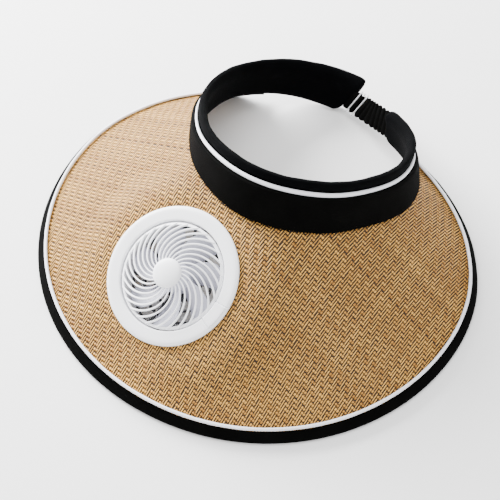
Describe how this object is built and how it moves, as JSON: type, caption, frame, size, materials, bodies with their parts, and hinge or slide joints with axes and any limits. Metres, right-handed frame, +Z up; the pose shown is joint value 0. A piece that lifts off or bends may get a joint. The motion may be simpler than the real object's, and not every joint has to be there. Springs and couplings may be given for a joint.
{
  "type": "fan hat",
  "caption": "Wide straw sun visor with a padded cloth headband, an elastic back strap and a small ducted fan set flush into the brim, off to the wearer's right.",
  "frame": {"origin": "on the surface the hat stands on, under the middle of its length and width", "axes": "+Z up; the front of the brim faces -Y; +X is the wearer's left"},
  "size_m": [0.3568, 0.3432, 0.1167],
  "materials": {
    "straw": "woven paper straw, matte",
    "binding_cloth": "matte woven tape",
    "band_cloth": "matte fine twill",
    "band_padding": "soft knit over padding",
    "white_cord": "satin cord",
    "elastic": "gathered elastic",
    "white_plastic": "satin moulded",
    "grey_plastic": "matte moulded",
    "motor_metal": "brushed"
  },
  "bodies": {
    "hat": {"brim": "straw", "brim_binding": "binding_cloth", "brim_piping": "white_cord", "headband": "band_cloth", "band_piping": "white_cord", "sweatband": "band_padding", "elastic_strap": "elastic", "strap_slider": "white_plastic", "fan_ring": "white_plastic", "fan_housing": "white_plastic", "fan_grille": "white_plastic", "rear_guard": "grey_plastic", "fan_motor": "motor_metal"},
    "rotor": {"fan_rotor": "white_plastic"}
  },
  "joints": [
    {"name": "rotor_spin", "type": "hinge", "parent": "hat", "child": "rotor", "pos_m": [-0.02785, -0.07592, 0.03953], "axis": [-0.145, -0.4506, 0.8809], "continuous": true}
  ]
}
